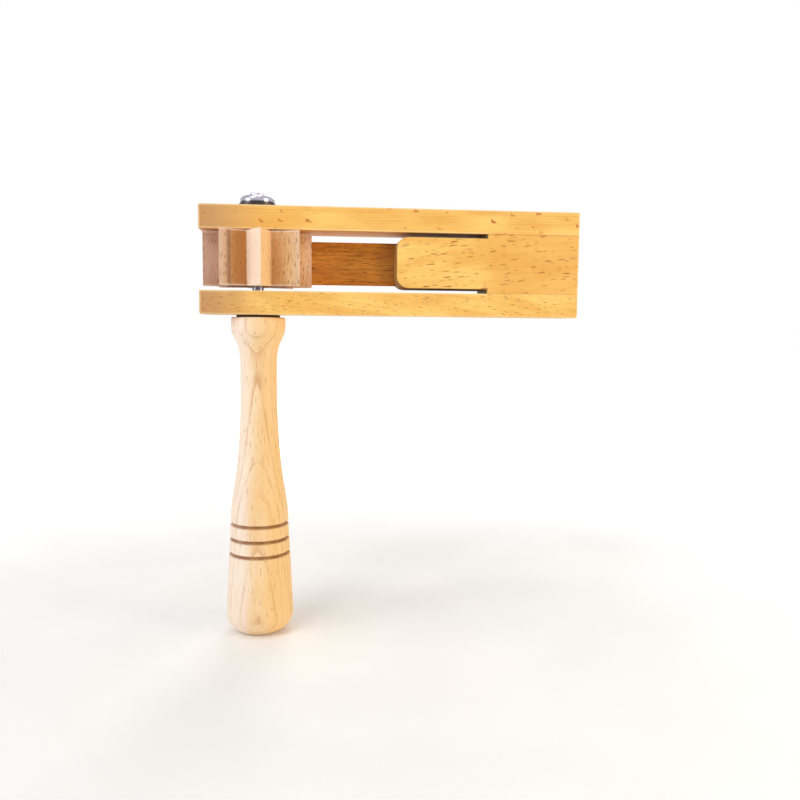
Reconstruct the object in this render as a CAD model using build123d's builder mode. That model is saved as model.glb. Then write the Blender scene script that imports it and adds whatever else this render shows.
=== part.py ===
"""Wooden gragger: a hand ratchet whose frame swings round a handle and clicks a reed over a star wheel.

Millimetres. The origin is on the spin axis, at the middle of the grip. +Z runs up the axle from the
handle to the cap, and +X runs along the frame from the axle to the block.
"""

import os
from math import cos, radians, sin

from build123d import *

# handle
handle_length = 112.0
collar_diameter = 18.7
collar_height = 3.2
collar_edge_round = 0.7
cove_length = 17.0
cove_middle_drop = 5.6
cove_middle_diameter = 15.0
waist_diameter = 12.6
shoulder_diameter = 20.1
shoulder_drop = 69.5
swell_low_drop = 57.5
swell_low_diameter = 16.9
swell_high_drop = 43.4
swell_high_diameter = 14.0
butt_diameter = 24.3
butt_round = 7.0
groove_count = 3
first_groove_drop = 72.5
groove_pitch = 5.3
groove_width = 1.5
groove_depth = 0.8
axle_socket_depth = 32.0

# axle and its fittings
axle_diameter = 4.0
axle_end_chamfer = 0.4
glue_clearance = 0.02
running_clearance = 0.06
washer_clearance = 0.15
axial_play = 0.1
handle_washer_diameter = 15.0
handle_washer_thickness = 0.7
head_washer_diameter = 12.6
head_washer_thickness = 1.1
cap_diameter = 11.8
cap_height = 3.7
cap_wall = 0.35
cap_rim_height = 2.5
cap_rim_lip = 0.7
cap_rim_round = 1.4
cap_shoulder_rise = 0.4
crown_diameter = 5.2
crown_edge_round = 0.35
crown_foot_round = 0.2
lock_ring_thickness = 0.4
lock_tooth_count = 6
lock_slot_width = 0.8
lock_slot_depth = 1.5

# star wheel
tooth_count = 8
gear_point_diameter = 38.0
gear_root_diameter = 19.6
gear_height = 18.4
gear_tip_round = 0.2
gear_root_round = 0.8
gear_phase = 6.7
gap_under_gear = 1.6
gap_over_gear = 0.4

# frame
arm_thickness = 8.1
frame_depth = 18.0
axle_to_near_end = 19.0
axle_to_far_end = 111.5
axle_to_slot_end = 79.0
axle_to_tongue_end = 47.5
slot_height = 1.5
tongue_corner_round = 4.0
frame_edge_round = 0.8
arm_rim_round = 0.72

# reed
reed_thickness = 1.5
reed_width = 15.0
reed_offset = 3.7
reed_tip_reach = 1.6
kerf_length = 30.0
kerf_clearance = 0.05
bend_gap = 0.05
bend_stand_off = 1.2

# heights up the axle, from the parts that stack on it
handle_top = handle_length / 2
handle_foot = -handle_length / 2
lower_arm_base = handle_top + handle_washer_thickness + axial_play
arm_gap_base = lower_arm_base + arm_thickness
gear_base = arm_gap_base + gap_under_gear
arm_gap = gap_under_gear + gear_height + gap_over_gear
upper_arm_base = arm_gap_base + arm_gap
upper_arm_top = upper_arm_base + arm_thickness
head_washer_base = upper_arm_top + axial_play
cap_base = head_washer_base + head_washer_thickness
cap_top = cap_base + cap_height
axle_foot = handle_top - axle_socket_depth
axle_top = cap_top - cap_wall - axial_play
tongue_height = arm_gap - 2 * slot_height
arm_gap_middle = arm_gap_base + arm_gap / 2

# places along the frame
frame_length = axle_to_near_end + axle_to_far_end
frame_middle = (axle_to_far_end - axle_to_near_end) / 2
bend_x = axle_to_tongue_end - bend_stand_off
kerf_end = axle_to_tongue_end + kerf_length
reed_tip_radius = gear_point_diameter / 2 - reed_tip_reach
reed_tip_x = (reed_tip_radius**2 - reed_offset**2) ** 0.5

press_bore = axle_diameter + 2 * glue_clearance
running_bore = axle_diameter + 2 * running_clearance
washer_bore = axle_diameter + 2 * washer_clearance

os.makedirs("parts", exist_ok=True)


def save(piece, label):
    """Name a finished piece and write it."""
    piece.part.label = label
    export_step(piece.part, f"parts/{label}.step")


def flank_radius(drop):
    """Radius of the straight flank of the grip, at a drop below the handle's top."""
    share = (drop - shoulder_drop) / (handle_length - shoulder_drop)
    return (shoulder_diameter + share * (butt_diameter - shoulder_diameter)) / 2


# handle: one turned profile, then its grooves and the axle's socket
collar_foot = handle_top - collar_height
waist_z = collar_foot - cove_length
shoulder_z = handle_top - shoulder_drop
flank_run = handle_length - shoulder_drop
flank_tangent = (flank_radius(handle_length) - flank_radius(shoulder_drop), -flank_run)
with BuildPart() as handle:
    with BuildSketch(Plane.XZ):
        with BuildLine():
            Line((0, handle_foot), (0, handle_top))
            Line((0, handle_top), (collar_diameter / 2, handle_top))
            Line((collar_diameter / 2, handle_top), (collar_diameter / 2, collar_foot))
            Spline(
                (collar_diameter / 2, collar_foot),
                (cove_middle_diameter / 2, collar_foot - cove_middle_drop),
                (waist_diameter / 2, waist_z),
                tangents=[(0, -1), (0, -1)],
            )
            Spline(
                (waist_diameter / 2, waist_z),
                (swell_high_diameter / 2, handle_top - swell_high_drop),
                (swell_low_diameter / 2, handle_top - swell_low_drop),
                (shoulder_diameter / 2, shoulder_z),
                tangents=[(0, -1), flank_tangent],
            )
            Line((shoulder_diameter / 2, shoulder_z), (butt_diameter / 2, handle_foot))
            Line((butt_diameter / 2, handle_foot), (0, handle_foot))
        make_face()
    revolve(axis=Axis.Z)
    rims = handle.edges().filter_by(GeomType.CIRCLE).sort_by(Axis.Z)
    fillet(rims[-1], collar_edge_round)
    fillet(rims[0], butt_round)
    with BuildSketch(Plane.XZ):
        for index in range(groove_count):
            drop = first_groove_drop + index * groove_pitch
            surface = flank_radius(drop)
            groove_z = handle_top - drop
            lip = surface + groove_depth
            with BuildLine():
                Polyline(
                    (surface - groove_depth, groove_z),
                    (lip, groove_z + groove_width),
                    (lip, groove_z - groove_width),
                    close=True,
                )
            make_face()
    revolve(axis=Axis.Z, mode=Mode.SUBTRACT)
    with Locations((0, 0, handle_top)):
        Hole(press_bore / 2, axle_socket_depth)
save(handle, "handle")

# axle: plain steel rod with eased ends
with BuildPart() as axle_rod:
    with BuildSketch(Plane.XY.offset(axle_foot)):
        Circle(axle_diameter / 2)
    extrude(amount=axle_top - axle_foot)
    chamfer(axle_rod.edges().filter_by(GeomType.CIRCLE), axle_end_chamfer)
save(axle_rod, "axle_rod")


def make_washer(label, outer, thickness, base):
    """Flat washer round the axle."""
    with BuildPart() as washer:
        with BuildSketch(Plane.XY.offset(base)):
            Circle(outer / 2)
            Circle(washer_bore / 2, mode=Mode.SUBTRACT)
        extrude(amount=thickness)
    save(washer, label)


make_washer("handle_washer", handle_washer_diameter, handle_washer_thickness, handle_top)
make_washer("head_washer", head_washer_diameter, head_washer_thickness, head_washer_base)

# push-on cap: thin pressed shell with a rolled-in rim, a rounded shoulder and a low crown
cap_radius = cap_diameter / 2
crown_radius = crown_diameter / 2
rim_top = cap_base + cap_rim_height
crown_foot = rim_top + cap_shoulder_rise
cap_corners = {
    (cap_radius, rim_top): cap_rim_round,
    (cap_radius - cap_wall, rim_top - cap_wall): cap_rim_round - cap_wall,
    (crown_radius, cap_top): crown_edge_round,
    (crown_radius, crown_foot): crown_foot_round,
}
with BuildPart() as axle_cap:
    with BuildSketch(Plane.XZ) as cap_profile:
        with BuildLine():
            Polyline(
                (cap_radius - cap_rim_lip, cap_base),
                (cap_radius, cap_base),
                (cap_radius, rim_top),
                (crown_radius, crown_foot),
                (crown_radius, cap_top),
                (0, cap_top),
                (0, cap_top - cap_wall),
                (crown_radius - cap_wall, cap_top - cap_wall),
                (crown_radius - cap_wall, crown_foot - cap_wall),
                (cap_radius - cap_wall, rim_top - cap_wall),
                (cap_radius - cap_wall, cap_base + cap_wall),
                (cap_radius - cap_rim_lip, cap_base + cap_wall),
                close=True,
            )
        make_face()
        for corner, corner_round in cap_corners.items():
            fillet(cap_profile.vertices().sort_by_distance(corner)[0], corner_round)
    revolve(axis=Axis.Z)
save(axle_cap, "axle_cap")

# toothed ring that grips the rod, held by the cap's rolled rim
with BuildPart() as lock_ring:
    with BuildSketch(Plane.XY.offset(cap_base + cap_wall)):
        Circle(cap_radius - cap_wall - glue_clearance)
        Circle(press_bore / 2, mode=Mode.SUBTRACT)
        with PolarLocations(axle_diameter / 2 + lock_slot_depth / 2, lock_tooth_count):
            Rectangle(lock_slot_depth, lock_slot_width, mode=Mode.SUBTRACT)
    extrude(amount=lock_ring_thickness)
save(lock_ring, "lock_ring")

# star wheel: straight-flanked points, turned so that one notch takes the reed's tip
half_pitch = 180 / tooth_count
star = []
for index in range(tooth_count):
    tip_angle = radians(gear_phase + 2 * half_pitch * index)
    notch_angle = tip_angle + radians(half_pitch)
    star.append((gear_point_diameter / 2 * cos(tip_angle), gear_point_diameter / 2 * sin(tip_angle)))
    star.append((gear_root_diameter / 2 * cos(notch_angle), gear_root_diameter / 2 * sin(notch_angle)))
with BuildPart() as ratchet_gear:
    with BuildSketch(Plane.XY.offset(gear_base)) as star_outline:
        with BuildLine():
            Polyline(*star, close=True)
        make_face()
        fillet(star_outline.vertices().group_by(SortBy.DISTANCE)[0], gear_root_round)
        fillet(star_outline.vertices().group_by(SortBy.DISTANCE)[-1], gear_tip_round)
        Circle(press_bore / 2, mode=Mode.SUBTRACT)
    extrude(amount=gear_height)
save(ratchet_gear, "ratchet_gear")


def make_arm(label, base, outer_face):
    """Frame strip with a running bore for the axle. Its outer edges are eased, its glued edges square."""
    with BuildPart() as arm:
        with BuildSketch(Plane.XY.offset(base)):
            with Locations((frame_middle, 0)):
                RectangleRounded(frame_length, frame_depth, frame_edge_round)
            Circle(running_bore / 2, mode=Mode.SUBTRACT)
        extrude(amount=arm_thickness)
        rim = arm.faces().sort_by(Axis.Z)[outer_face].outer_wire().edges()
        fillet(rim, arm_rim_round)
    save(arm, label)


make_arm("lower_arm", lower_arm_base, 0)
make_arm("upper_arm", upper_arm_base, -1)

# block between the arms: a glued heel, and a tongue that stands clear of the arms and holds the reed
kerf = reed_thickness + 2 * kerf_clearance
heel_length = axle_to_far_end - axle_to_slot_end
tongue_length = axle_to_slot_end - axle_to_tongue_end
with BuildPart() as tongue_block:
    with BuildSketch(Plane.XY.offset(arm_gap_base)) as heel_outline:
        with Locations((axle_to_slot_end + heel_length / 2, 0)):
            Rectangle(heel_length, frame_depth)
        fillet(heel_outline.vertices().group_by(Axis.X)[-1], frame_edge_round)
    extrude(amount=arm_gap)
    with BuildSketch(Plane.XZ.offset(-frame_depth / 2)) as tongue_outline:
        with Locations((axle_to_tongue_end + tongue_length / 2, arm_gap_middle)):
            Rectangle(tongue_length, tongue_height)
        fillet(tongue_outline.vertices().group_by(Axis.X)[0], tongue_corner_round)
    extrude(amount=frame_depth)
    with BuildSketch(Plane.XY.offset(arm_gap_base + slot_height)):
        with Locations((axle_to_tongue_end + kerf_length / 2, reed_offset)):
            Rectangle(kerf_length, kerf)
    extrude(amount=tongue_height, mode=Mode.SUBTRACT)
save(tongue_block, "tongue_block")

# reed: the root is glued in the kerf, and the blade's round heel turns in the bending line
reed_base = arm_gap_middle - reed_width / 2
root_start = bend_x + reed_thickness / 2 + bend_gap
root_length = kerf_end - kerf_clearance - root_start
with BuildPart() as reed_root:
    with BuildSketch(Plane.XY.offset(reed_base)):
        with Locations((root_start + root_length / 2, reed_offset)):
            Rectangle(root_length, reed_thickness)
    extrude(amount=reed_width)
save(reed_root, "reed_root")

blade_length = bend_x - reed_tip_x
with BuildPart() as reed_blade:
    with BuildSketch(Plane.XY.offset(reed_base)):
        with Locations((reed_tip_x + blade_length / 2, reed_offset)):
            SlotCenterToCenter(blade_length - reed_thickness / 2, reed_thickness)
    extrude(amount=reed_width)
save(reed_blade, "reed_blade")
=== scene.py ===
import math

import bpy
from mathutils import Euler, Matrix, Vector


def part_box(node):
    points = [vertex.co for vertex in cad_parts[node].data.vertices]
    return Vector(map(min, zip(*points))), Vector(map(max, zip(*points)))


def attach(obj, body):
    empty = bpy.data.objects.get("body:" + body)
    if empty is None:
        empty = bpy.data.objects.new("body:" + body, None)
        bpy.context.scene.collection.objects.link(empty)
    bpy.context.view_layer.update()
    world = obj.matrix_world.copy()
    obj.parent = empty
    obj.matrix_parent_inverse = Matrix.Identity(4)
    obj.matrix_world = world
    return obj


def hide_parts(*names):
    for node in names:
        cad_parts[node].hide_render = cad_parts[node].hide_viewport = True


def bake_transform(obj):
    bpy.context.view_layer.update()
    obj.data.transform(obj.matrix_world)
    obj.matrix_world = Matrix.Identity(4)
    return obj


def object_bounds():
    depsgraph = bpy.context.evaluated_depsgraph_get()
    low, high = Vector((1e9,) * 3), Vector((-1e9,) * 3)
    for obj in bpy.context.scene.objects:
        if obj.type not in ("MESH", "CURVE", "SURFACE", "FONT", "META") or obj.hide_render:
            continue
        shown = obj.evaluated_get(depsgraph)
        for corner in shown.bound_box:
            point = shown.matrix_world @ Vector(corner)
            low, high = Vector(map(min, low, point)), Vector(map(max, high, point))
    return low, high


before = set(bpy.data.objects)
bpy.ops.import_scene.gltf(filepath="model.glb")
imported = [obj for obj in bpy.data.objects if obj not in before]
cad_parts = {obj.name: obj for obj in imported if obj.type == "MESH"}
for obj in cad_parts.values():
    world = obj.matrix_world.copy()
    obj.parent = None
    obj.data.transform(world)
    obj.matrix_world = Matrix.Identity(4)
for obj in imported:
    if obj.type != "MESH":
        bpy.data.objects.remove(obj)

cadLow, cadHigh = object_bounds()


def toLinear(red, green, blue):
    # colours are written as a picture shows them, 0 to 255
    shown = [value / 255 for value in (red, green, blue)]
    return [v / 12.92 if v <= 0.04045 else ((v + 0.055) / 1.055) ** 2.4 for v in shown] + [1.0]


class Wire:
    def __init__(self, finish, socket):
        self.finish = finish
        self.socket = socket

    def math(self, operation, first, second=None):
        values = {0: first} if second is None else {0: first, 1: second}
        return self.finish.node("Math", {"operation": operation}, values)

    def __add__(self, other):
        return self.math("ADD", self, other)

    def __radd__(self, other):
        return self.math("ADD", other, self)

    def __sub__(self, other):
        return self.math("SUBTRACT", self, other)

    def __rsub__(self, other):
        return self.math("SUBTRACT", other, self)

    def __mul__(self, other):
        return self.math("MULTIPLY", self, other)

    def __rmul__(self, other):
        return self.math("MULTIPLY", other, self)

    def __truediv__(self, other):
        return self.math("DIVIDE", self, other)

    def __pow__(self, other):
        return self.math("POWER", self, other)

    def __abs__(self):
        return self.math("ABSOLUTE", self)

    def fraction(self):
        return self.math("FRACT", self)

    def most(self, other):
        return self.math("MAXIMUM", self, other)

    def least(self, other):
        return self.math("MINIMUM", self, other)

    def fade(self, start, end):
        # 0 before start, 1 after end, smooth between
        return self.finish.node("MapRange", {"interpolation_type": "SMOOTHSTEP"},
                                {"Value": self, "From Min": start, "From Max": end})


class Finish:
    def __init__(self, holder):
        # holder is a new material or world
        self.material = holder
        self.material.use_nodes = True
        self.tree = self.material.node_tree
        self.tree.nodes.clear()

    def node(self, kind, settings=None, inputs=None, output=0):
        made = self.tree.nodes.new("ShaderNode" + kind)
        for key, value in (settings or {}).items():
            setattr(made, key, value)
        for key, value in (inputs or {}).items():
            if isinstance(value, Wire):
                self.tree.links.new(value.socket, made.inputs[key])
            else:
                made.inputs[key].default_value = value
        return Wire(self, made.outputs[output]) if made.outputs else None

    def mix(self, share, first, second):
        # a colour mix, with colours given as wires or as linear colours
        return self.node("Mix", {"data_type": "RGBA"}, {0: share, 6: first, 7: second}, output=2)

    def paint(self, colour, share, tone):
        # lays a tone over a colour, where share is 1
        return self.mix(share, colour, toLinear(*tone))

    def parts(self, vector):
        made = self.node("SeparateXYZ", None, {0: vector})
        outputs = made.socket.node.outputs
        return [Wire(self, outputs[index]) for index in range(3)]

    def place(self, turn=(0, 0, 0), shift=(0, 0, 0)):
        # object coordinates in millimetres, turned so that x runs along the grain
        spot = self.node("TexCoord", output="Object")
        return self.node("Mapping", None, {
            "Vector": spot,
            "Location": shift,
            "Rotation": [math.radians(angle) for angle in turn],
            "Scale": (1000, 1000, 1000),
        })

    def spot(self):
        # x, y and z of the object, in millimetres
        return self.parts(self.place())

    def facing(self):
        # how far the surface faces each of x, y and z; the three add up to 1
        return [side * side for side in self.parts(self.node("TexCoord", output="Normal"))]

    def stretch(self, vector, sizes):
        # divides each direction by its own length in millimetres
        return self.node("VectorMath", {"operation": "DIVIDE"}, {0: vector, 1: sizes})

    def noise(self, vector, sizes, detail=2.0, roughness=0.5):
        return self.node("TexNoise", None, {
            "Vector": self.stretch(vector, sizes),
            "Scale": 1.0,
            "Detail": detail,
            "Roughness": roughness,
        })

    def seen(self):
        # 1 where the camera, a mirror or glass looks at this surface
        path = self.node("LightPath").socket.node.outputs
        direct = Wire(self, path["Is Camera Ray"]).most(Wire(self, path["Is Glossy Ray"]))
        return direct.most(Wire(self, path["Is Transmission Ray"]))

    def close(self, colour, roughness, height=None, bump=0.0, **fixed):
        values = {"Base Color": colour, "Roughness": roughness}
        if height is not None:
            values["Normal"] = self.node("Bump", None, {"Strength": bump, "Distance": 0.0002, "Height": height})
        values.update({key.replace("_", " "): value for key, value in fixed.items()})
        surface = self.node("BsdfPrincipled", None, values)
        self.node("OutputMaterial", None, {"Surface": surface})
        return self.material


beechBase = {
    "turn": (0, 0, 0),           # degrees, brings the grain onto x
    "shift": (0, 0, 0),          # mm, which part of the plank is seen
    "pale": (251, 205, 113),
    "deep": (237, 178, 84),
    "line": (206, 136, 52),
    "ray": (150, 66, 12),
    "ringGap": 2.2,              # mm between growth lines
    "ringWay": (0.0, 0.35, 1.0), # across the growth rings
    "ringShow": 0.25,
    "ringSharp": 5.0,
    "ringPatch": (16, 5, 5),     # mm
    "waviness": 0.7,
    "raySize": (4.2, 8.0, 0.62), # mm, along the grain, radially, across
    "rayShare": 0.36,
    "rayRadius": 0.38,
    "rayShow": 0.95,
    "fibreShow": 0.22,
    "roughness": 0.52,
}


def rays(wood, grain, sway, sizes, share, radius):
    # lens-shaped flecks along the grain: a few of many cells, each with its own size and strength
    along, radial, across = wood.parts(grain)
    stagger = wood.noise(grain, (80, 30, 0.9), 0.0)
    bent = wood.node("CombineXYZ", None, {0: along + stagger * 7, 1: radial, 2: across + sway})
    cells = wood.stretch(bent, sizes)
    cell = wood.node("TexVoronoi", {"feature": "F1"}, {"Vector": cells, "Scale": 1.0})
    reach = Wire(wood, cell.socket.node.outputs["Distance"])
    pick, size, strength = wood.parts(Wire(wood, cell.socket.node.outputs["Color"]))
    shape = (radius * (0.55 + 0.45 * size) - reach).fade(0.0, 0.12)
    return shape * pick.fade(1 - share, 1.02 - share) * (0.5 + 0.5 * strength)


def beech(name, look):
    plan = {**beechBase, **look}
    wood = Finish(bpy.data.materials.new(name))
    grain = wood.place(plan["turn"], plan["shift"])
    sway = wood.noise(grain, (26, 9, 9), 2.0) - 0.5
    along, radial, across = wood.parts(grain)
    # growth rings: a soft rise that ends in a thin darker line
    wayX, wayY, wayZ = plan["ringWay"]
    ringPlace = along * wayX + radial * wayY + across * wayZ + sway * plan["waviness"] * 2
    ringCount = ringPlace / plan["ringGap"]
    ring = ringCount.fraction()
    mood = wood.node("TexWhiteNoise", {"noise_dimensions": "1D"}, {"W": ringCount - ring})
    ringLine = ring ** plan["ringSharp"] * (1 - ring.fade(0.96, 1.0)) * (0.35 + 0.65 * mood)
    # the lines come and go along the grain
    faded = wood.noise(grain, plan["ringPatch"], 1.0).fade(0.36, 0.6)
    ringLine = ringLine * (0.25 + 0.75 * faded)
    # fine fibres along the grain
    fibre = wood.noise(grain, (5.5, 0.28, 0.28), 3.0, 0.6)
    fibreDark = fibre.fade(0.5, 0.72)
    mottle = wood.noise(grain, (22, 6, 6), 2.0).fade(0.3, 0.7)
    bend = sway * plan["waviness"]
    length, depth, width = plan["raySize"]
    ray = rays(wood, grain, bend, (length, depth, width), plan["rayShare"], plan["rayRadius"])
    shifted = wood.node("VectorMath", {"operation": "ADD"}, {0: grain, 1: (3.1, 5.7, 0.41)})
    shortRay = rays(wood, shifted, bend, (0.7 * length, depth, 0.8 * width), plan["rayShare"], plan["rayRadius"])
    ray = ray.most(0.75 * shortRay)
    if "rayFaces" in plan:
        shares = [side * share for side, share in zip(wood.facing(), plan["rayFaces"])]
        ray = ray * (shares[0] + shares[1] + shares[2])
    colour = wood.mix(mottle, toLinear(*plan["deep"]), toLinear(*plan["pale"]))
    if "tint" in plan:
        colour = plan["tint"](wood, colour, grain)
    colour = wood.paint(colour, ringLine * plan["ringShow"], plan["line"])
    colour = wood.paint(colour, fibreDark * plan["fibreShow"], plan["line"])
    colour = wood.paint(colour, ray * plan["rayShow"], plan["ray"])
    if "extra" in plan:
        colour = plan["extra"](wood, colour, grain)
    roughness = plan["roughness"] + 0.1 * fibreDark + 0.08 * ray
    height = fibre * 0.5 - ray * 0.6 - ringLine * 0.2
    return wood.close(colour, roughness, height, 0.25)


endShadePlan = {"edges": (8, -20), "share": 0.95, "colour": (190, 141, 94)}


def paintedEndShade(wood, colour, grain):
    # painted shade: the strips are painted darker and greyer towards their free ends, where less light falls
    east = wood.spot()[0]
    return wood.paint(colour, endShadePlan["share"] * east.fade(*endShadePlan["edges"]), endShadePlan["colour"])


edgeHighlightPlan = {
    "width": 0.8,                # mm
    "inset": 0.1,
    "share": 0.6,
    "colour": (255, 228, 170),
    "blockStart": (78.8, 79.2),  # mm along the strip
    "gluedReach": (1.0, 1.6),    # mm from the glued face
}


def paintedEdgeHighlight(wood, colour, low, high, glued):
    # painted highlight: the edges of a squared piece are painted paler, as lit edges, except where one face is
    # glued to the block
    close = []
    spot = wood.spot()
    for value, first, last in zip(spot, low * 1000, high * 1000):
        half = (last - first) / 2
        close.append(abs(value - (first + last) / 2).fade(half - edgeHighlightPlan["width"], half - edgeHighlightPlan["inset"]))
    edges = (close[0] * close[1]).most(close[1] * close[2]).most(close[0] * close[2])
    joined = spot[0].fade(*edgeHighlightPlan["blockStart"]) * (1 - abs(spot[2] - glued * 1000).fade(*edgeHighlightPlan["gluedReach"]))
    return wood.paint(colour, edgeHighlightPlan["share"] * edges * (1 - 0.8 * joined), edgeHighlightPlan["colour"])


fleckPlan = {
    "cell": (5.2, 4.5, 4.3),     # mm, along the grain, radially, across
    "left": 0.15,                # left, right, down and depth are shares of a cell
    "right": 0.27,
    "down": 0.12,
    "slope": 0.8,
    "depth": 0.36,
    "share": 0.8,
    "colour": (190, 98, 30),
}


def flecks(wood, colour, grain):
    # three-cornered ray flecks of the upper strip: upright on the left, flat below, sloping down to the right
    push = wood.noise(grain, (1.1, 1.1, 1.1), 2.0) - 0.5
    along, radial, across = wood.parts(grain)
    spot = wood.node("CombineXYZ", None, {0: along + push * 1.1, 1: radial, 2: across + push * 0.8})
    cells = wood.stretch(spot, fleckPlan["cell"])
    cell = wood.node("TexVoronoi", {"feature": "F1"}, {"Vector": cells, "Scale": 1.0, "Randomness": 0.9})
    outputs = cell.socket.node.outputs
    pick, size, strength = wood.parts(Wire(wood, outputs["Color"]))
    offset = wood.node("VectorMath", {"operation": "SUBTRACT"}, {0: cells, 1: Wire(wood, outputs["Position"])})
    east, deep, up = wood.parts(offset)
    grow = 0.55 + 0.75 * size
    east, up = east / grow, up / grow
    inside = (east + fleckPlan["left"]).least(up + fleckPlan["down"])
    inside = inside.least((fleckPlan["right"] - east) * fleckPlan["slope"] - up - fleckPlan["down"])
    inside = inside.least(fleckPlan["depth"] - abs(deep))
    chosen = pick.fade(1 - fleckPlan["share"], 1.02 - fleckPlan["share"])
    mask = inside.fade(0.0, 0.05) * chosen * wood.facing()[1]
    return wood.paint(colour, mask * (0.35 + 0.65 * strength), fleckPlan["colour"])


undersideShadePlan = {"edges": (0.3, 0.1), "share": 0.5, "colour": (214, 130, 40)}


def upperTones(wood, colour, grain):
    low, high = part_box("upper_arm")
    colour = paintedEdgeHighlight(wood, flecks(wood, colour, grain), low, high, low.z)
    # painted shade: its underside is painted a deeper orange, for the warm shade in the gap under it
    above = wood.spot()[2] - low.z * 1000
    return wood.paint(colour, undersideShadePlan["share"] * above.fade(*undersideShadePlan["edges"]), undersideShadePlan["colour"])


def lowerTones(wood, colour, grain):
    low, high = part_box("lower_arm")
    return paintedEdgeHighlight(wood, colour, low, high, high.z)


blockMarks = {
    "glueReach": (0.28, 0.12),   # mm inside the glued faces
    "glue": (196, 122, 52),
    "slotEnd": (78.9, 79.2),     # mm along the block
    "slotReach": (1.56, 1.5),    # mm inside the glued faces
    "tongueEnd": (51.0, 51.6),
    "scorchAndShade": (84, 50, 26),
    "farEnd": (110.7, 111.4),
    "sideReach": (8.2, 8.9),     # mm from the middle
    "pale": (255, 228, 170),
}


def blockTones(wood, colour, grain):
    # a thin glue line above and below; painted shade in the saw cuts round the tongue and on the tongue's end; a
    # painted highlight on the far end's edges
    low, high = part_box("tongue_block")
    east, north, up = wood.spot()
    reach = abs(up - (low.z + high.z) * 500)
    half = (high.z - low.z) * 500
    glueLine = reach.fade(*[half - inset for inset in blockMarks["glueReach"]])
    colour = wood.paint(colour, 0.45 * glueLine, blockMarks["glue"])
    # painted shade: the slot faces and the tongue's end are darkened
    slotFace = reach.fade(*[half - inset for inset in blockMarks["slotReach"]])
    inSlot = (1 - east.fade(*blockMarks["slotEnd"])) * slotFace
    tongueEnd = (1 - east.fade(*blockMarks["tongueEnd"])) * (1 - wood.facing()[1]).fade(0.3, 0.8)
    colour = wood.paint(colour, 0.85 * inSlot.most(0.8 * tongueEnd), blockMarks["scorchAndShade"])
    # painted highlight: the rounded edges of the far end are painted paler
    endEdgeHighlight = east.fade(*blockMarks["farEnd"]) * abs(north).fade(*blockMarks["sideReach"])
    return wood.paint(colour, 0.6 * endEdgeHighlight, blockMarks["pale"])


wheelPaintedLight = {
    "hollowEdge": (16.5, 11.5),  # mm from the axle
    "hollow": (184, 112, 46),
    "hollowFades": (2.0, 6.0),   # mm along x, as the starts and ends below
    "orangeStart": (-8.2, -7.6),
    "orange": (196, 122, 46),
    "brownStart": (-9.6, -9.0),
    "brown": (146, 92, 60),
    "tanStart": (-9.2, -9.8),
    "tan": (186, 132, 86),
    "pointEdge": (15.0, 18.4),   # mm from the axle
    "point": (238, 208, 182),
    "litStreakStart": (-3.3, -2.5),
    "litStreakEnd": (4.3, 5.2),
    "litStreakPale": (248, 224, 200),
    "honeyStart": (1.8, 2.6),
    "honey": (252, 212, 156),
    "honeyOver": (250, 206, 146),
    "greyStart": (-10.0, -14.0),
    "grey": (174, 130, 108),
    "rimReach": (0.7, 0.1),      # mm inside the wheel's two ends
    "rim": (250, 228, 206),
}


def paintedLitStreak(wood, honey):
    # painted light: a pale lit streak is painted through the middle of the wheel over the front tooth, honey
    # coloured on its warm lit side
    east = wood.spot()[0]
    share = east.fade(*wheelPaintedLight["litStreakStart"]) * (1 - east.fade(*wheelPaintedLight["litStreakEnd"]))
    tone = wood.mix(east.fade(*wheelPaintedLight["honeyStart"]), toLinear(*wheelPaintedLight["litStreakPale"]), toLinear(*honey))
    return share, tone


def wheelTones(wood, colour, grain):
    # painted light and shade: the points are painted pinkish pale as if lit, and the hollows deep as if shaded
    east, north, up = wood.spot()
    out = (east * east + north * north) ** 0.5
    hollow = out.fade(*wheelPaintedLight["hollowEdge"]) * (1 - 0.45 * east.fade(*wheelPaintedLight["hollowFades"]))
    colour = wood.paint(colour, 0.8 * hollow, wheelPaintedLight["hollow"])
    # painted shade: a brown band beside an orange one, for the shaded flanks left of the front tooth
    inner = east.fade(*wheelPaintedLight["orangeStart"])
    orange = inner * (1 - east.fade(*wheelPaintedLight["litStreakStart"]))
    brown = east.fade(*wheelPaintedLight["brownStart"]) * (1 - inner)
    colour = wood.paint(colour, 0.55 * orange, wheelPaintedLight["orange"])
    colour = wood.paint(colour, 0.8 * brown, wheelPaintedLight["brown"])
    # painted shade: the teeth further left are tan, where less light falls
    colour = wood.paint(colour, 0.75 * east.fade(*wheelPaintedLight["tanStart"]), wheelPaintedLight["tan"])
    # painted light: the points of the teeth are paler
    colour = wood.paint(colour, 0.6 * out.fade(*wheelPaintedLight["pointEdge"]), wheelPaintedLight["point"])
    # painted light: the lit streak over the front tooth
    share, tone = paintedLitStreak(wood, wheelPaintedLight["honey"])
    colour = wood.mix(0.85 * share, colour, tone)
    # painted shade: greyer still towards the left end, where less light falls
    colour = wood.paint(colour, 0.8 * east.fade(*wheelPaintedLight["greyStart"]), wheelPaintedLight["grey"])
    # painted highlight: the rims at the wheel's two ends are painted paler
    low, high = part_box("ratchet_gear")
    half = (high.z - low.z) * 500
    ends = abs(up - (low.z + high.z) * 500).fade(*[half - inset for inset in wheelPaintedLight["rimReach"]])
    return wood.paint(colour, 0.55 * ends, wheelPaintedLight["rim"])


def litStreakOverRays(wood, colour, grain):
    # painted light: the lit streak is laid over the rays again, so they are faint in it
    share, tone = paintedLitStreak(wood, wheelPaintedLight["honeyOver"])
    return wood.mix(0.55 * share, colour, tone)


kerfShade = {"edges": (39.0, 47.5), "share": 0.48, "colour": (116, 68, 28)}


def reedTones(wood, colour, grain):
    # painted shade: darker where it goes into the tongue, which shades it
    east = wood.spot()[0]
    return wood.paint(colour, kerfShade["share"] * east.fade(*kerfShade["edges"]), kerfShade["colour"])


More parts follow.
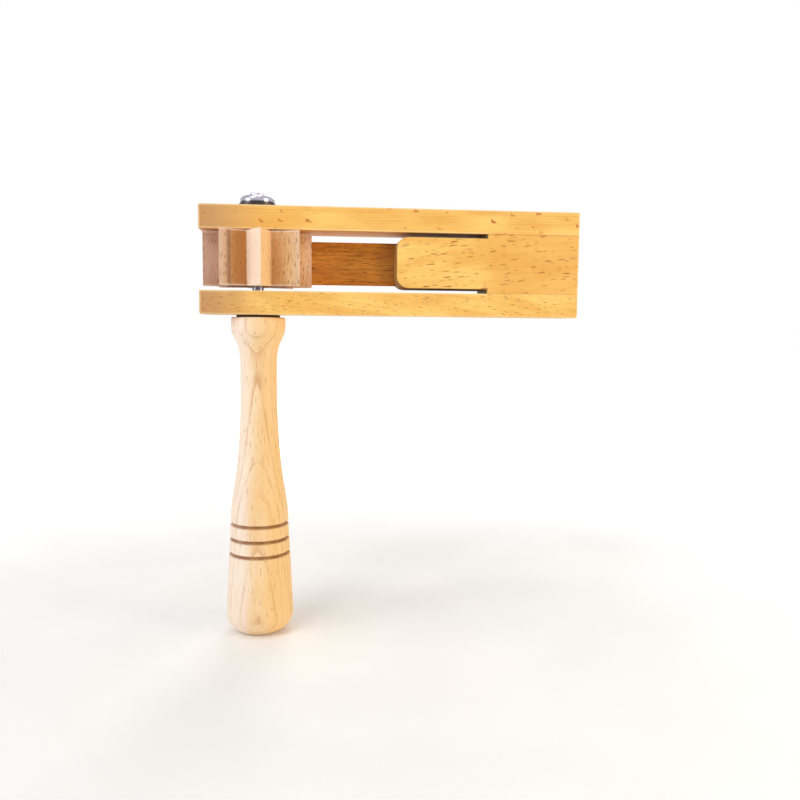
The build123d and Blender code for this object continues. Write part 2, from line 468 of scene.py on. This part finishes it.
heelPlan = {"edges": (74, 84), "share": 0.45, "colour": (230, 164, 72)}


def heelTint(wood, colour, grain):
    # the heel is a little deeper than the tongue
    east = wood.spot()[0]
    return wood.paint(colour, heelPlan["share"] * east.fade(*heelPlan["edges"]), heelPlan["colour"])


blockBeech = beech("blockBeech", {
    "turn": (0, 6, 0),
    "rayFaces": (0.5, 1.0, 0.3),
    "tint": heelTint,
    "extra": blockTones,
})
upperBeech = beech("upperBeech", {
    "shift": (0, 40, 13),
    "ringGap": 0.95,
    "ringShow": 0.75,
    "ringSharp": 3.5,
    "ringWay": (0.0, 0.2, 1.0),
    "waviness": 0.35,
    "raySize": (3.8, 0.6, 8.0),
    "rayShare": 0.34,
    "rayShow": 0.7,
    "rayFaces": (0.6, 0.08, 1.0),
    "tint": paintedEndShade,
    "extra": upperTones,
})
lowerBeech = beech("lowerBeech", {
    "turn": (0, -9, 0),
    "shift": (17, 11, 90),
    "ray": (152, 76, 22),
    "raySize": (3.6, 7.0, 0.55),
    "rayShare": 0.45,
    "rayShow": 1.0,
    "rayFaces": (0.5, 1.0, 0.3),
    "ringShow": 0.4,
    "waviness": 1.1,
    "tint": paintedEndShade,
    "extra": lowerTones,
})
wheelBeech = beech("wheelBeech", {
    "turn": (0, 90, 0),
    "pale": (238, 194, 138),
    "deep": (214, 160, 100),
    "line": (190, 122, 58),
    "ray": (134, 70, 26),
    "raySize": (3.2, 0.7, 0.7),
    "rayShare": 0.75,
    "rayShow": 0.8,
    "fibreShow": 0.4,
    "ringGap": 3.1,
    "ringWay": (0.0, 1.0, 0.6),
    "ringShow": 0.5,
    "tint": wheelTones,
    "extra": litStreakOverRays,
})
# the reed's deeper orange is partly its own tone and partly painted shade of its recess between the strips
reedBeech = beech("reedBeech", {
    "shift": (5, 3, 31),
    "pale": (244, 166, 46),
    "deep": (212, 132, 28),
    "line": (112, 58, 16),
    "ray": (92, 46, 14),
    "raySize": (4.0, 2.0, 0.6),
    "rayShare": 0.5,
    "rayShow": 0.8,
    "fibreShow": 0.8,
    "ringGap": 1.5,
    "ringShow": 0.8,
    "waviness": 1.5,
    "tint": reedTones,
})


turnedPlan = {
    "whiteSide": (1.0, 6.0),     # mm across the grain
    "white": (244, 228, 216),
    "honeySide": (2.0, -6.0),
    "honey": (248, 202, 130),
    "top": 56.0,                 # mm
    "lineDrops": (72.5, 77.8, 83.1),
    "lineEdge": (0.35, 0.9),
    "scorchAndShade": (150, 94, 46),
}


def turnedTones(wood, colour, grain):
    # painted light: pinkish white on one side, as lit by cool light, and honey on the other, as lit by warm light
    across = wood.parts(grain)[2]
    colour = wood.paint(colour, 0.7 * across.fade(*turnedPlan["whiteSide"]), turnedPlan["white"])
    return wood.paint(colour, 0.75 * across.fade(*turnedPlan["honeySide"]), turnedPlan["honey"])


def scorchLines(wood, colour, grain):
    # the three turned lines are burnt, unevenly
    along = wood.parts(grain)[0]
    shares = []
    for drop in turnedPlan["lineDrops"]:
        shares.append(1 - abs(along - (turnedPlan["top"] - drop)).fade(*turnedPlan["lineEdge"]))
    scorchAndShade = shares[0].most(shares[1]).most(shares[2])
    uneven = wood.noise(grain, (3, 3, 3), 2.0).fade(0.2, 0.7)
    return wood.paint(colour, scorchAndShade * (0.6 + 0.3 * uneven), turnedPlan["scorchAndShade"])


handleBeech = beech("handleBeech", {
    "turn": (0, 90, 0),
    "pale": (246, 218, 180),
    "deep": (240, 200, 146),
    "line": (198, 130, 68),
    "ray": (176, 112, 58),
    "ringGap": 1.87,
    "ringWay": (-0.0237, -1.0, 0.0),
    "ringShow": 0.95,
    "ringSharp": 9.0,
    "ringPatch": (9, 4, 4),
    "waviness": 0.18,
    "raySize": (5.5, 0.9, 0.65),
    "rayShare": 0.34,
    "rayShow": 0.5,
    "fibreShow": 0.18,
    "tint": turnedTones,
    "extra": scorchLines,
})
print("beech finishes made")


def metal(name, look):
    bare = Finish(bpy.data.materials.new(name))
    spot = bare.place()
    grime = bare.noise(spot, look["grain"], 3.0).fade(0.4, 0.75)
    colour = bare.mix(grime, toLinear(*look["pale"]), toLinear(*look["deep"]))
    if "rim" in look:
        # painted reflection: darker towards the rim near the wood, for the dark wood and shade mirrored there
        height = bare.parts(spot)[2]
        colour = bare.paint(colour, height.fade(*look["rim"]), look["rimReflection"])
    roughness = look["roughness"] + 0.12 * grime
    return bare.close(colour, roughness, grime, 0.05, Metallic=look["metallic"])


capChrome = metal("capChrome", {
    "pale": (186, 184, 196), "deep": (150, 148, 160), "grain": (3, 3, 3), "roughness": 0.2, "metallic": 1.0,
    "rim": (95.6, 94.9), "rimReflection": (66, 62, 58),
})
axleSteel = metal("axleSteel", {
    "pale": (150, 154, 164), "deep": (92, 94, 102), "grain": (0.8, 0.8, 6), "roughness": 0.26, "metallic": 1.0,
})
# partly painted shade: the washer under the cap is a dark steel, its darkness also standing in for the shade
# under the cap
washerSteel = metal("washerSteel", {
    "pale": (74, 70, 68), "deep": (44, 40, 38), "grain": (2, 2, 2), "roughness": 0.4, "metallic": 1.0,
})
springSteel = metal("springSteel", {
    "pale": (150, 146, 140), "deep": (104, 100, 96), "grain": (2, 2, 2), "roughness": 0.3, "metallic": 1.0,
})
# painted shade: the washer between the frame and the handle is near black, for the shade in the gap there
nearBlackWasher = metal("nearBlackWasher", {
    "pale": (58, 52, 46), "deep": (30, 27, 24), "grain": (0.7, 0.7, 0.7), "roughness": 0.75, "metallic": 0.0,
})
print("metal finishes made")


def clearPick():
    if bpy.context.object and bpy.context.object.mode != "OBJECT":
        bpy.ops.object.mode_set(mode="OBJECT")
    bpy.ops.object.select_all(action="DESELECT")


def pick(piece, kind, wanted):
    # selects only the wanted verts, edges or faces, and stays in edit mode
    bpy.ops.object.mode_set(mode="EDIT")
    bpy.ops.mesh.select_mode(type=kind)
    bpy.ops.mesh.select_all(action="DESELECT")
    bpy.ops.object.mode_set(mode="OBJECT")
    mesh = piece.data
    for element in {"VERT": mesh.vertices, "EDGE": mesh.edges, "FACE": mesh.polygons}[kind]:
        if kind == "VERT":
            element.select = wanted(element.co)
        elif kind == "EDGE":
            element.select = wanted(*[mesh.vertices[index].co for index in element.vertices])
        else:
            element.select = wanted(element.center, element.normal)
    bpy.ops.object.mode_set(mode="EDIT")


def ease(piece, offset, segments, wanted):
    # rounds the edges whose ends pass the test
    pick(piece, "EDGE", wanted)
    bpy.ops.mesh.bevel(offset=offset, offset_type="OFFSET", segments=segments, affect="EDGES")
    bpy.ops.object.mode_set(mode="OBJECT")


def boxFrom(name, low, high):
    # a box between two corners, with its place in its mesh
    clearPick()
    bpy.ops.mesh.primitive_cube_add(size=1, location=(low + high) / 2)
    piece = bpy.context.object
    piece.name = piece.data.name = name
    piece.scale = high - low
    bpy.ops.object.transform_apply(location=True, rotation=True, scale=True)
    return piece


def faceOut(piece):
    clearPick()
    piece.select_set(True)
    bpy.context.view_layer.objects.active = piece
    bpy.ops.object.mode_set(mode="EDIT")
    bpy.ops.mesh.select_all(action="SELECT")
    bpy.ops.mesh.remove_doubles(threshold=1e-6)
    bpy.ops.mesh.normals_make_consistent(inside=False)
    bpy.ops.object.mode_set(mode="OBJECT")


def cutAway(piece, cutter):
    faceOut(piece)
    taken = piece.modifiers.new("cut", "BOOLEAN")
    taken.operation = "DIFFERENCE"
    taken.solver = "EXACT"
    taken.object = cutter
    bpy.ops.object.modifier_apply(modifier=taken.name)
    bpy.data.objects.remove(cutter)


def closeUp(piece, finish, angle=32):
    faceOut(piece)
    bpy.ops.object.shade_smooth_by_angle(angle=math.radians(angle))
    piece.data.materials.clear()
    piece.data.materials.append(finish)
    return piece


def near(first, second, room=2e-5):
    return abs(first - second) < room


wheelPlan = {
    "teeth": 8,
    "pointRadius": 0.01891,
    "rootRadius": 0.0098,
    "phase": 6.7,
    "pointCut": 0.00053,
    "rootCut": 0.00085,
    "rimEase": 0.00014,
    "boreRadius": 0.00202,
    "boreCut": 0.03,             # longer than the wheel
}


def makeWheel():
    low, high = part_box("ratchet_gear")
    clearPick()
    bpy.ops.mesh.primitive_circle_add(vertices=2 * wheelPlan["teeth"], radius=wheelPlan["pointRadius"],
                                      fill_type="NGON", location=(0, 0, low.z))
    wheel = bpy.context.object
    wheel.name = wheel.data.name = "starWheel"
    halfPitch = math.pi / wheelPlan["teeth"]
    pick(wheel, "VERT", lambda co: round(math.atan2(co.y, co.x) / halfPitch) % 2 == 1)
    shrink = wheelPlan["rootRadius"] / wheelPlan["pointRadius"]
    bpy.ops.transform.resize(value=(shrink, shrink, 1), center_override=(0, 0, low.z))
    bpy.ops.mesh.select_all(action="SELECT")
    bpy.ops.mesh.extrude_region_move(TRANSFORM_OT_translate={"value": (0, 0, high.z - low.z)})
    bpy.ops.object.mode_set(mode="OBJECT")
    wheel.rotation_euler.z = math.radians(wheelPlan["phase"])
    bpy.ops.object.transform_apply(location=True, rotation=True, scale=True)
    faceOut(wheel)

    def standing(a, b, radius):
        return not near(a.z, b.z) and near(a.xy.length, radius) and near(b.xy.length, radius)

    ease(wheel, wheelPlan["pointCut"], 4, lambda a, b: standing(a, b, wheelPlan["pointRadius"]))
    ease(wheel, wheelPlan["rootCut"], 5, lambda a, b: standing(a, b, wheelPlan["rootRadius"]))
    ease(wheel, wheelPlan["rimEase"], 2, lambda a, b: near(a.z, b.z))
    clearPick()
    bpy.ops.mesh.primitive_cylinder_add(vertices=48, radius=wheelPlan["boreRadius"], depth=wheelPlan["boreCut"],
                                        location=(low + high) / 2)
    cutAway(wheel, bpy.context.object)
    closeUp(wheel, wheelBeech, 28)
    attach(wheel, "handle")
    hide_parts("ratchet_gear")
    print("star wheel made")


blockPlan = {
    "slotEnd": 0.079,
    "slotHeight": 0.0015,
    "tongueRound": 0.004,
    "edgeEase": 0.0004,
    "endRound": 0.0008,
    "kerfEnd": 0.0775,
    "kerfWidth": 0.0016,
    "kerfMiddle": 0.0037,
}


def makeBlock():
    low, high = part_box("tongue_block")
    block = boxFrom("tongueBlock", Vector((blockPlan["slotEnd"], low.y, low.z)), high)
    tongueLow, tongueHigh = low.z + blockPlan["slotHeight"], high.z - blockPlan["slotHeight"]
    for level in (tongueLow, tongueHigh):
        bpy.ops.object.mode_set(mode="EDIT")
        bpy.ops.mesh.select_all(action="SELECT")
        bpy.ops.mesh.bisect(plane_co=(0, 0, level), plane_no=(0, 0, 1))
        bpy.ops.object.mode_set(mode="OBJECT")
    pick(block, "FACE", lambda co, no: no.x < -0.9 and tongueLow < co.z < tongueHigh)
    bpy.ops.mesh.extrude_region_move(TRANSFORM_OT_translate={"value": (low.x - blockPlan["slotEnd"], 0, 0)})
    bpy.ops.object.mode_set(mode="OBJECT")
    ease(block, blockPlan["tongueRound"], 8,
         lambda a, b: near(a.x, low.x) and near(b.x, low.x) and near(a.z, b.z))
    ease(block, blockPlan["endRound"], 4,
         lambda a, b: near(a.x, high.x) and near(b.x, high.x) and near(a.y, b.y))
    slotEnd = blockPlan["slotEnd"]
    ease(block, blockPlan["edgeEase"], 3, lambda a, b: near(a.y, b.y) and near(abs(a.y), high.y)
         and max(a.x, b.x) < slotEnd + 1e-5 and min(a.x, b.x) < slotEnd - 1e-5)
    middle = blockPlan["kerfMiddle"]
    half = blockPlan["kerfWidth"] / 2
    cutter = boxFrom("kerf", Vector((low.x - 0.002, middle - half, low.z - 0.002)),
                     Vector((blockPlan["kerfEnd"], middle + half, high.z + 0.002)))
    cutAway(block, cutter)
    closeUp(block, blockBeech)
    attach(block, "frame")
    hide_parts("tongue_block")
    print("tongue block made")


reedPlan = {"edgeEase": 0.0003, "tipRound": 0.0007, "pieces": 40, "bendStart": 0.0475, "bendEnd": 0.0395}


def makeReed():
    bladeLow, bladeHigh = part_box("reed_blade")
    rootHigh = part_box("reed_root")[1]
    reed = boxFrom("reedSlat", bladeLow, rootHigh)
    ease(reed, reedPlan["tipRound"], 4,
         lambda a, b: near(a.x, bladeLow.x) and near(b.x, bladeLow.x) and near(a.y, b.y))
    ease(reed, reedPlan["edgeEase"], 2, lambda a, b: near(a.z, b.z))
    length = rootHigh.x - bladeLow.x
    for step in range(1, reedPlan["pieces"]):
        bpy.ops.object.mode_set(mode="EDIT")
        bpy.ops.mesh.select_all(action="SELECT")
        bpy.ops.mesh.bisect(plane_co=(bladeLow.x + length * step / reedPlan["pieces"], 0, 0), plane_no=(1, 0, 0))
        bpy.ops.object.mode_set(mode="OBJECT")
    closeUp(reed, reedBeech)
    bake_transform(reed)
    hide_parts("reed_root", "reed_blade")
    print("reed made")


makeWheel()
makeBlock()
makeReed()

# CAD nodes that stay get their finishes here
nodeFinish = {
    "handle": handleBeech,
    "upper_arm": upperBeech,
    "lower_arm": lowerBeech,
    "axle_rod": axleSteel,
    "handle_washer": nearBlackWasher,
    "head_washer": washerSteel,
    "axle_cap": capChrome,
    "lock_ring": springSteel,
}
for nodeName, finish in nodeFinish.items():
    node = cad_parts[nodeName]
    node.data.materials.clear()
    node.data.materials.append(finish)
print("finishes set on", len(nodeFinish), "nodes")

stagePlan = {
    "floorSize": 6.0,
    "floorDeep": (244, 244, 243),
    "floorPale": (249, 249, 248),
    "nearLift": 0.05,            # the floor glows less by the object, so its shadow shows
    "farLift": 0.6,
    "liftReach": (40, 520),      # mm
    "worldLight": 0.38,
}


def makeFloor():
    clearPick()
    bpy.ops.mesh.primitive_grid_add(x_subdivisions=8, y_subdivisions=8, size=stagePlan["floorSize"],
                                    location=(0, 0, cadLow.z))
    floor = bpy.context.object
    floor.name = "floor"
    paper = Finish(bpy.data.materials.new("floorPaper"))
    spot = paper.place()
    tone = paper.noise(spot, (60, 60, 60), 2.0).fade(0.3, 0.7)
    colour = paper.mix(tone, toLinear(*stagePlan["floorDeep"]), toLinear(*stagePlan["floorPale"]))
    east, north, _ = paper.parts(spot)
    away = ((east * east + north * north) ** 0.5).fade(*stagePlan["liftReach"])
    share = paper.seen() * (stagePlan["nearLift"] + (stagePlan["farLift"] - stagePlan["nearLift"]) * away)
    lift = paper.mix(share, (0, 0, 0, 1), (1, 1, 1, 1))
    floor.data.materials.append(paper.close(colour, 0.8, Emission_Color=lift, Emission_Strength=1.0))


def makeWorld():
    sky = Finish(bpy.data.worlds.new("studio"))
    bpy.context.scene.world = sky.material
    strength = stagePlan["worldLight"] + (1 - stagePlan["worldLight"]) * sky.seen()
    light = sky.node("Background", None, {"Color": (1, 1, 1, 1), "Strength": strength})
    sky.node("OutputWorld", None, {"Surface": light})


lampPlan = {
    "key": {"place": (-0.42, -0.6, 0.75), "aim": (0.03, 0, 0.03),
            "size": 0.35, "power": 2.2, "colour": (1.0, 0.98, 0.95)},
    "left": {"place": (-0.9, -0.45, 0.2), "aim": (0, 0, 0.02),
             "size": 0.4, "power": 3.8, "colour": (0.9, 0.95, 1.0)},
    "right": {"place": (0.9, -0.45, 0.15), "aim": (0.03, 0, 0.02),
              "size": 0.4, "power": 4.0, "colour": (1.0, 0.86, 0.68)},
    "back": {"place": (0.15, 0.9, 0.55), "aim": (0.03, 0, 0.03),
             "size": 0.5, "power": 2.6, "colour": (1.0, 0.97, 0.93)},
    "top": {"place": (0.02, -0.12, 1.1), "aim": (0.04, 0, 0.05),
            "size": 0.5, "power": 2.0, "colour": (1.0, 0.99, 0.97)},
}


def makeLamps():
    for name, lamp in lampPlan.items():
        clearPick()
        aim = Vector(lamp["aim"]) - Vector(lamp["place"])
        bpy.ops.object.light_add(type="AREA", location=lamp["place"],
                                 rotation=aim.to_track_quat("-Z", "Y").to_euler())
        light = bpy.context.object
        light.name = name
        light.data.shape = "SQUARE"
        light.data.size = lamp["size"]
        light.data.energy = lamp["power"]
        light.data.color = lamp["colour"]


cameraPlan = {
    "place": (0.02086, -0.28282, 0.05401),
    "aim": (0.04997, 0.0, 0.02703),
    "lens": 35.83,
    "roll": 0.578,               # degrees
}


def makeCamera():
    clearPick()
    look = Vector(cameraPlan["aim"]) - Vector(cameraPlan["place"])
    facing = look.to_track_quat("-Z", "Y") @ Euler((0, 0, math.radians(cameraPlan["roll"]))).to_quaternion()
    bpy.ops.object.camera_add(location=cameraPlan["place"], rotation=facing.to_euler())
    camera = bpy.context.object
    camera.data.sensor_width = 36
    camera.data.lens = cameraPlan["lens"]
    camera.data.clip_start = 0.01
    bpy.context.scene.camera = camera


makeFloor()
makeWorld()
makeLamps()
makeCamera()
bpy.context.scene.view_settings.view_transform = "Standard"
print("stage, lamps and camera made")

bpy.context.view_layer.update()
